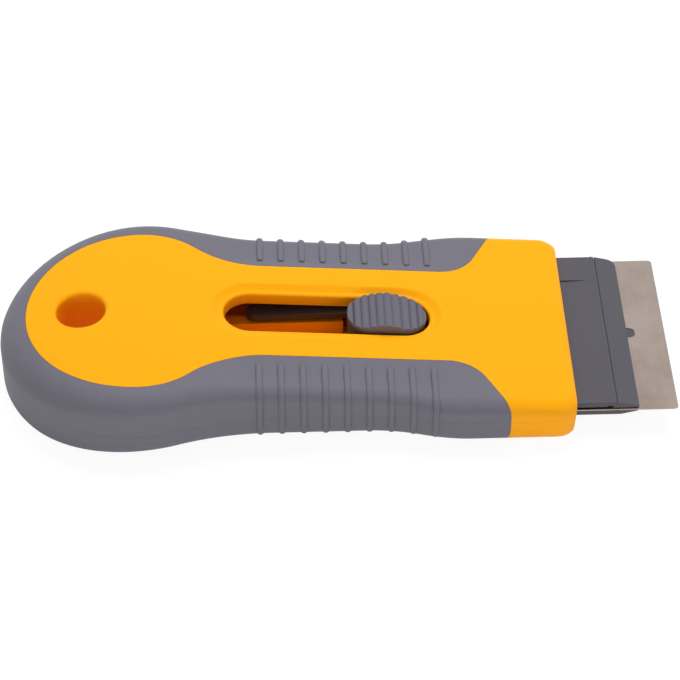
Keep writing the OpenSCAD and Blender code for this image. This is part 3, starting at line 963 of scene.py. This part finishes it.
def make_cover():
    """Upper plate, with its bead, groove, sunk panel, side notches and pegs."""
    lip_z0, lip_t = 5.2, 0.35
    outline = [
        (REAR_X, COVER_Z0), (NOTCH_X, COVER_Z0), (NOTCH_X, lip_z0), (LIP_X, lip_z0),
        (LIP_X, lip_z0 + lip_t), (GROOVE_X + 0.5, 6.5), (GROOVE_X, COVER_Z1 - 0.02),
        (GROOVE_X - 0.45, COVER_Z1 + 0.12), (GROOVE_X - 0.7, COVER_Z1), (REAR_X, COVER_Z1),
    ]
    cover = carrier_plate(outline, 4, 0.12)
    over, panel_y, panel_x0, panel_x1 = 8, 13.2, BLADE_X0 - 6, GROOVE_X - 1.0
    panel_z, groove_z = COVER_Z1 - 0.24, COVER_Z1 - 0.32
    panel = [
        (panel_x0, over), (panel_x0, panel_z), (FRONT_X + 1.5, panel_z),
        (panel_x1, COVER_Z1 + 0.01), (panel_x1, over),
    ]
    groove = [
        (GROOVE_X, over), (GROOVE_X + 0.12, groove_z), (GROOVE_X + 0.28, groove_z),
        (GROOVE_X + 0.4, over),
    ]
    notch_r, notch_z = 0.5, (4.2, 5.75)
    notches = [disc(NOTCH_X, side * CARRIER_Y, notch_r, *notch_z, 24) for side in (1, -1)]
    cut(cover, plate(panel, panel_y), plate(groove, 30), *notches)
    peg_z = (BASE_Z0 + 0.05, COVER_Z0 + 0.1)
    join(
        cover,
        block(BLADE_X0 - 0.4, NOTCH_X, -SHELF_Y, SHELF_Y, BLADE_Z + 0.15, COVER_Z0 + 0.1),
        disc(REAR_HOLE_X, 0, REAR_PEG_R, *peg_z, 32),
        disc(PEG_X, PEG_Y, PEG_R, *peg_z, 24),
        disc(PEG_X, -PEG_Y, PEG_R, *peg_z, 24),
    )
    settle(cover, "carrier_cover", "carrier", CARRIER_GREY)


def make_base():
    """Lower plate, with the stem that reaches back to the button, and sockets for the pegs."""
    lip_z1 = BLADE_Z - 0.16
    outline = [
        (REAR_X, BASE_Z0), (LIP_X - 3.2, BASE_Z0), (LIP_X, 4.5), (LIP_X, lip_z1),
        (LIP_X - 0.35, lip_z1), (NOTCH_X + 0.6, BASE_Z1), (REAR_X, BASE_Z1),
    ]
    base = carrier_plate(outline, 3, 0.14)
    stem_z, stem_x1, stem_y, root_y = (BASE_Z0, BASE_Z0 + 1.8), BLADE_X0 - 10.4, 3.5, 6
    root = block(stem_x1 - 0.2, BLADE_X0 - 2.3, -root_y, root_y, *stem_z)
    stem = block(BUTTON_X0 + 0.3, stem_x1, -stem_y, stem_y, *stem_z)
    join(base, soften(join(root, stem), 0.25))
    shelf_z = (BASE_Z1 - 0.1, BLADE_Z - 0.155)
    join(base, block(BLADE_X0 - 0.4, LIP_X - 0.35, -SHELF_Y, SHELF_Y, *shelf_z))
    join(base, disc(FRONT_HOLE_X, 0, FRONT_PEG_R, BASE_Z1, BLADE_Z - 0.08, 40))
    through, leg_y = (0, 12), LEG_Y + LEG_ROOM
    cut(
        base,
        block(LEG_X[0] - LEG_ROOM, LEG_X[1] + LEG_ROOM, -leg_y, leg_y, *through),
        disc(REAR_HOLE_X, 0, REAR_SOCKET_R, *through, 32),
        disc(PEG_X, PEG_Y, PEG_SOCKET_R, *through, 24),
        disc(PEG_X, -PEG_Y, PEG_SOCKET_R, *through, 24),
    )
    settle(base, "carrier_base", "carrier", CARRIER_GREY)


def make_blade():
    """Thin strip ground on both long edges, with a round hole near each."""
    half_t, thin, grind, corner_r = 0.15, 0.04, 0.9, 0.5
    z, ground_x0, ground_x1 = BLADE_Z, BLADE_X0 + grind, EDGE_X - grind
    outline = [
        (BLADE_X0, z - thin), (ground_x0, z - half_t), (ground_x1, z - half_t), (EDGE_X, z - thin),
        (EDGE_X, z + thin), (ground_x1, z + half_t), (ground_x0, z + half_t), (BLADE_X0, z + thin),
    ]
    blade = plate(outline, BLADE_Y)
    round_edges(
        blade,
        lambda edge: on_upright(edge, EDGE_X, BLADE_Y) or on_upright(edge, EDGE_X, -BLADE_Y),
        corner_r,
        2,
    )
    hole_r, rim_r = 1.3, 1.36
    for x in (REAR_HOLE_X, FRONT_HOLE_X):
        pen = Pen("side", (0, z - 1)).line((rim_r, z - 1), (rim_r, z - half_t))
        pen.line((hole_r, z - 0.1), (hole_r, z + 0.1), (rim_r, z + half_t))
        pen.line((rim_r, z + 1), (0, z + 1))
        cut(blade, shift(pen.turn_round(48), x))
    settle(blade, "scraper_blade", "carrier", BLADE_STEEL, smooth=20)


# ---------------------------------------------------------------- the thumb button

# Valleys between the pad's ridges: place along, and height over the slope of the top face.
PAD_VALLEYS = [
    (49.25, -0.6), (50.62, -0.2), (52.07, 0.12), (53.4, 0.44), (54.82, 0.68),
    (56.28, 0.56), (57.9, 0.1), (59.45, -0.25), (60.85, -0.42), (61.9, -0.5),
]
PAD_DROP = 1.1  # from the slope of the top face down to the pad's flat underside


def button_outline(grow, rear_r, level):
    """Button from above: rounded rear corners and a half-round front."""
    half, rear_x = BUTTON_Y + grow, BUTTON_X0 - grow
    pen = Pen("plan", (rear_x, 0), level).line((rear_x, half - rear_r))
    pen.arc((rear_x + rear_r, half - rear_r), -90, 12)
    pen.line((BUTTON_X1 - BUTTON_Y, half))
    pen.arc((BUTTON_X1 - BUTTON_Y, 0), -90, 20)
    return pen.mirrored()


def below_the_pad():
    """Everything in the slot below the pad's flat underside."""
    x0, x1 = 40, 70
    return plate(
        [(x0, 0), (x1, 0), (x1, straight_z(x1) - PAD_DROP), (x0, straight_z(x0) - PAD_DROP)], 10
    )


def make_pad():
    """Soft pad with rounded ridges across it and a hump in the middle."""
    ridge, low_z = 0.42, 5
    start_x, end_x, rear_z = BUTTON_X0 - 1, BUTTON_X1 + 1, straight_z(BUTTON_X0)
    pen = Pen("side", (start_x, low_z), -8).line((start_x, rear_z - 0.5), (BUTTON_X0, rear_z - 0.3))
    for x, height in PAD_VALLEYS:
        pen.swell((x, straight_z(x) + height), ridge, 6)
    pen.swell((BUTTON_X1 + 0.3, straight_z(BUTTON_X1) - 0.75), 0.1, 4)
    pen.line((end_x, low_z), (start_x, low_z))
    waves = pen.rise(0, -16, 0)
    pad = button_outline(0, 4.2, rear_z - 3.2).rise(0, 0, 5)
    cut(meet(pad, waves), below_the_pad())
    soften(pad, 0.07, angle=50)
    settle(pad, "thumb_pad", "thumb", PAD_GREY)


def spring_arm():
    """One flat spring arm, with a rounded tip, rising to the button."""
    x0, x1, inner, outer, narrow, tip_r = 29.8, 50.4, 3.9, 7.7, 6.3, 1.5
    thick, low_z, high_z, bar_x = 1.3, 7.66, 8.1, 48.3
    pen = Pen("plan", (x1, inner), 6.0).line((x0 + tip_r, inner))
    pen.arc((x0 + tip_r, inner + tip_r), -90, 6)
    pen.line((x0, outer - tip_r))
    pen.arc((x0 + tip_r, outer - tip_r), -90, 6)
    pen.line((45, outer), (46.8, narrow), (x1, narrow), (x1, inner))
    top = [(x1 + 1, high_z), (bar_x, high_z), (x0, low_z), (x0 - 1, low_z)]
    underside = [(x, z - thick) for x, z in reversed(top)]
    return soften(meet(pen.rise(0, 0, 3), plate(underside + top, 10)), 0.2)


def make_slider():
    """Body of the button, with the bar and the two spring arms behind it and the leg below."""
    body_z0, bar_x, bar_y, bar_z = 7.35, (48.2, 50.5), 4.3, (6.82, 8.08)
    body = meet(button_outline(-0.06, 3.4, body_z0).rise(0, 0, 6), below_the_pad())
    soften(body, 0.1)
    arms = on_both_sides(spring_arm())
    bar = block(*bar_x, -bar_y, bar_y, *bar_z)
    leg = block(*LEG_X, -LEG_Y, LEG_Y, BASE_Z0 + 0.8, body_z0 + 0.6)
    join(body, soften(bar, 0.15), *arms, soften(leg, 0.2))
    # The slider's colour carries painted shade and painted orange bounce light.
    settle(body, "thumb_slider", "thumb", SLIDER_PAINTED_SHADE)


# ---------------------------------------------------------------- studio, in metres

# The camera as it was fitted to the photo.
CAMERA_AT = (0.03491, -0.34157, 0.31960)
CAMERA_TILT = math.radians(90 - 42.63)
CAMERA_YAW = -0.0348
LENS, SENSOR = 134.36, 36

MIDDLE = (0.045, 0, 0.005)  # of the scraper, in metres
WORLD_LEVEL = 0.3
FLOOR_GLOW, FLOOR_GLOW_SHARE = 1.06, 0.88


def make_camera():
    """Camera at the photo's angle."""
    data = bpy.data.cameras.new("camera")
    data.lens, data.sensor_width = LENS, SENSOR
    data.clip_start, data.clip_end = 0.01, 20
    camera = bpy.data.objects.new("camera", data)
    camera.location = CAMERA_AT
    camera.rotation_euler = (CAMERA_TILT, 0, CAMERA_YAW)
    bpy.context.scene.collection.objects.link(camera)
    bpy.context.scene.camera = camera


def softbox(name, at, size, level):
    """Area lamp that gives a white surface in the middle that faces it that level."""
    data = bpy.data.lights.new(name, "AREA")
    data.shape, data.size, data.size_y = "RECTANGLE", size[0], size[1]
    away = Vector(at) - Vector(MIDDLE)
    data.energy = level * math.pi**2 * away.length_squared
    lamp = bpy.data.objects.new(name, data)
    lamp.location = at
    lamp.rotation_euler = away.to_track_quat("Z", "Y").to_euler()
    lamp.visible_glossy = False
    bpy.context.scene.collection.objects.link(lamp)


def seen_directly(finish):
    """1 for the camera and for mirror-like and clear rays, which see the white studio."""
    path = finish.node("ShaderNodeLightPath").socket.node
    seen = Wire(finish, path.outputs["Is Camera Ray"])
    seen = seen + Wire(finish, path.outputs["Is Glossy Ray"])
    seen = seen + Wire(finish, path.outputs["Is Transmission Ray"])
    return finish.node("ShaderNodeClamp", None, {"Value": seen})


def make_world():
    """White to look at, and a weaker light from all round."""
    world = bpy.data.worlds.new("studio")
    world.use_nodes = True
    sky = Finish("studio", world.node_tree)
    white = (1, 1, 1, 1)
    light = sky.node("ShaderNodeBackground", None, {"Color": white, "Strength": WORLD_LEVEL})
    plain = sky.node("ShaderNodeBackground", None, {"Color": white, "Strength": 1.0})
    both = sky.node("ShaderNodeMixShader", None, {0: seen_directly(sky), 1: light, 2: plain})
    sky.node("ShaderNodeOutputWorld", None, {"Surface": both})
    bpy.context.scene.world = world


def make_floor():
    """Pale floor that keeps a faint shadow."""
    bench_clear()
    bpy.ops.mesh.primitive_plane_add(size=6, location=(0, 0, -0.00002))
    floor = bpy.context.object
    floor.name = "floor"
    finish = Finish("pale_floor")
    pale = finish.node("ShaderNodeBsdfDiffuse", None, {"Color": (0.95, 0.95, 0.95, 1)})
    glow_values = {"Color": (1, 1, 1, 1), "Strength": FLOOR_GLOW}
    glow = finish.node("ShaderNodeEmission", None, glow_values)
    share = FLOOR_GLOW_SHARE * seen_directly(finish)
    both = finish.node("ShaderNodeMixShader", None, {0: share, 1: pale, 2: glow})
    finish.node("ShaderNodeOutputMaterial", None, {"Surface": both})
    floor.data.materials.append(finish.material)


make_handle()
make_screws()
make_cover()
make_base()
make_blade()
make_pad()
make_slider()

make_camera()
make_world()
softbox("key", (0.14, 0.36, 0.75), (0.7, 0.45), 1.06)
softbox("fill", (0.05, -0.75, 0.12), (0.9, 0.2), 0.3)
make_floor()

scene = bpy.context.scene
scene.view_settings.view_transform = "Standard"
